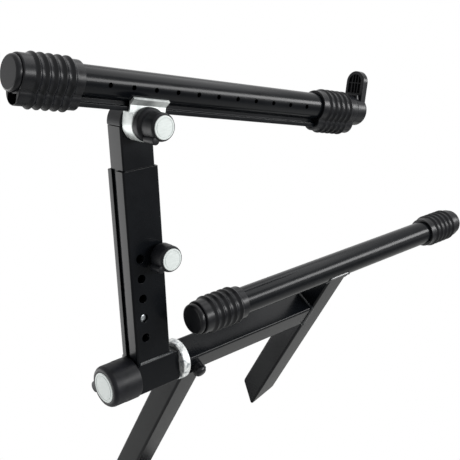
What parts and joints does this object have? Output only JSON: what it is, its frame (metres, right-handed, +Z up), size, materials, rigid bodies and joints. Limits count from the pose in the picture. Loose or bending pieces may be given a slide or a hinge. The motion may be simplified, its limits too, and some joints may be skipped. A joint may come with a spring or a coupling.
{
  "type": "folding keyboard stand",
  "caption": "Folding double-braced X stand with ribbed support arms and a second tier of swivelling, height- and tilt-adjustable posts that carry rail tubes with end stops.",
  "frame": {"origin": "on the floor under the middle of the stand", "axes": "+X across the stand to the right as the player sees it, +Y away from the player, +Z up"},
  "size_m": [0.6052, 0.6774, 1.2755],
  "materials": {
    "black_coat": "semi-gloss black powder coat on steel tube",
    "rubber": "moulded dark rubber, ribbed, satin",
    "knob_plastic": "moulded black nylon, fine texture",
    "disc_plastic": "pale grey insert disc, smooth",
    "zinc": "mottled die-cast zinc",
    "cast_aluminium": "tumbled aluminium extrusion, satin",
    "plated_steel": "zinc-plated steel"
  },
  "bodies": {
    "left_frame": {"left_main_leg": "black_coat", "left_brace_leg": "black_coat", "left_crossbar": "black_coat", "left_clutch_ring": "zinc", "left_retaining_button": "rubber", "left_support_tube": "black_coat", "left_support_cap_back": "rubber", "left_support_cap_front": "rubber", "left_foot_tube": "black_coat", "left_foot_cap_back": "rubber", "left_foot_cap_front": "rubber", "pivot_axle": "plated_steel", "pivot_nut": "plated_steel", "lock_plate": "plated_steel"},
    "left_post_base": {"left_base_box": "black_coat", "left_sleeve": "black_coat"},
    "left_base_grip": {"left_base_knob": "knob_plastic", "left_base_disc": "disc_plastic"},
    "left_height_grip": {"left_height_knob": "knob_plastic", "left_height_disc": "disc_plastic"},
    "left_post_upper": {"left_inner_post": "black_coat", "left_post_cap": "knob_plastic", "left_tilt_nut": "plated_steel"},
    "left_button": {"left_snap_button": "plated_steel"},
    "left_tilt_grip": {"left_tilt_knob": "knob_plastic", "left_tilt_disc": "disc_plastic"},
    "left_jaw": {"left_clamp_jaw": "cast_aluminium"},
    "left_rail": {"left_rail_tube": "black_coat", "left_rail_cap_back": "rubber", "left_rail_cap_front": "rubber"},
    "left_stop": {"left_end_stop": "rubber"},
    "right_frame": {"right_main_leg": "black_coat", "right_brace_leg": "black_coat", "right_crossbar": "black_coat", "right_clutch_ring": "zinc", "right_retaining_button": "rubber", "right_support_tube": "black_coat", "right_support_cap_back": "rubber", "right_support_cap_front": "rubber", "right_foot_tube": "black_coat", "right_foot_cap_back": "rubber", "right_foot_cap_front": "rubber"},
    "right_post_base": {"right_base_box": "black_coat", "right_sleeve": "black_coat"},
    "right_base_grip": {"right_base_knob": "knob_plastic", "right_base_disc": "disc_plastic"},
    "right_height_grip": {"right_height_knob": "knob_plastic", "right_height_disc": "disc_plastic"},
    "right_post_upper": {"right_inner_post": "black_coat", "right_post_cap": "knob_plastic", "right_tilt_nut": "plated_steel"},
    "right_button": {"right_snap_button": "plated_steel"},
    "right_tilt_grip": {"right_tilt_knob": "knob_plastic", "right_tilt_disc": "disc_plastic"},
    "right_jaw": {"right_clamp_jaw": "cast_aluminium"},
    "right_rail": {"right_rail_tube": "black_coat", "right_rail_cap_back": "rubber", "right_rail_cap_front": "rubber"},
    "right_stop": {"right_end_stop": "rubber"},
    "lock_trigger": {"lock_trigger": "knob_plastic"}
  },
  "joints": [
    {"name": "fold", "type": "hinge", "parent": "left_frame", "child": "right_frame", "pos_m": [0, 0.14133, 0.49341], "axis": [0, 1, 0], "range_deg": [-50, 49]},
    {"name": "left_post_swivel", "type": "hinge", "parent": "left_frame", "child": "left_post_base", "pos_m": [-0.24129, 0.14133, 0.9014], "axis": [0, 1, 0], "range_deg": [-25, 24.5]},
    {"name": "left_base_knob_turn", "type": "hinge", "parent": "left_post_base", "child": "left_base_grip", "pos_m": [-0.24129, 0.14133, 0.9014], "axis": [0, 1, 0], "continuous": true},
    {"name": "left_height_knob_turn", "type": "hinge", "parent": "left_post_base", "child": "left_height_grip", "pos_m": [-0.2491, 0.17593, 1.04129], "axis": [0.9987, 0, -0.0515], "continuous": true},
    {"name": "left_post_lift", "type": "slide", "parent": "left_post_base", "child": "left_post_upper", "axis": [0.0515, 0, 0.9987], "range_m": [-0.0231, 0.0693]},
    {"name": "left_snap_press", "type": "slide", "parent": "left_post_upper", "child": "left_button", "axis": [0.9987, 0, -0.0515], "range_m": [0, 0.006], "stiffness_N_per_m": 800, "springref_m": -0.002},
    {"name": "left_tilt_knob_turn", "type": "hinge", "parent": "left_post_upper", "child": "left_tilt_grip", "pos_m": [-0.22649, 0.19113, 1.18852], "axis": [0.9987, 0, -0.0515], "continuous": true},
    {"name": "left_rail_tilt", "type": "hinge", "parent": "left_post_upper", "child": "left_jaw", "pos_m": [-0.22649, 0.19113, 1.18852], "axis": [0.9987, 0, -0.0515], "range_deg": [-12, 10]},
    {"name": "left_rail_depth", "type": "slide", "parent": "left_jaw", "child": "left_rail", "axis": [0.0107, 0.9781, 0.2076], "range_m": [-0.05, 0.16]},
    {"name": "left_stop_turn", "type": "hinge", "parent": "left_rail", "child": "left_stop", "pos_m": [-0.24572, 0.18352, 1.22536], "axis": [0.0107, 0.9781, 0.2076], "range_deg": [-90, 0]},
    {"name": "right_post_swivel", "type": "hinge", "parent": "right_frame", "child": "right_post_base", "pos_m": [0.24129, 0.14133, 0.9014], "axis": [0, 1, 0], "range_deg": [-24.5, 25]},
    {"name": "right_base_knob_turn", "type": "hinge", "parent": "right_post_base", "child": "right_base_grip", "pos_m": [0.24129, 0.14133, 0.9014], "axis": [0, 1, 0], "continuous": true},
    {"name": "right_height_knob_turn", "type": "hinge", "parent": "right_post_base", "child": "right_height_grip", "pos_m": [0.2491, 0.17593, 1.04129], "axis": [0.9987, 0, 0.0515], "continuous": true},
    {"name": "right_post_lift", "type": "slide", "parent": "right_post_base", "child": "right_post_upper", "axis": [-0.0515, 0, 0.9987], "range_m": [-0.0231, 0.0693]},
    {"name": "right_snap_press", "type": "slide", "parent": "right_post_upper", "child": "right_button", "axis": [-0.9987, 0, -0.0515], "range_m": [0, 0.006], "stiffness_N_per_m": 800, "springref_m": -0.002},
    {"name": "right_tilt_knob_turn", "type": "hinge", "parent": "right_post_upper", "child": "right_tilt_grip", "pos_m": [0.22649, 0.19113, 1.18852], "axis": [0.9987, 0, 0.0515], "continuous": true},
    {"name": "right_rail_tilt", "type": "hinge", "parent": "right_post_upper", "child": "right_jaw", "pos_m": [0.22649, 0.19113, 1.18852], "axis": [0.9987, 0, 0.0515], "range_deg": [-12, 10]},
    {"name": "right_rail_depth", "type": "slide", "parent": "right_jaw", "child": "right_rail", "axis": [-0.0107, 0.9781, 0.2076], "range_m": [-0.05, 0.16]},
    {"name": "right_stop_turn", "type": "hinge", "parent": "right_rail", "child": "right_stop", "pos_m": [0.24572, 0.18352, 1.22536], "axis": [-0.0107, 0.9781, 0.2076], "range_deg": [0, 90]},
    {"name": "lock_pull", "type": "slide", "parent": "right_frame", "child": "lock_trigger", "axis": [0, 1, 0], "range_m": [0, 0.009], "stiffness_N_per_m": 1200, "springref_m": -0.003}
  ],
  "couplings": [
    {"joint": "left_post_swivel", "follows": "fold", "ratio": 0.5},
    {"joint": "right_post_swivel", "follows": "fold", "ratio": -0.5}
  ]
}
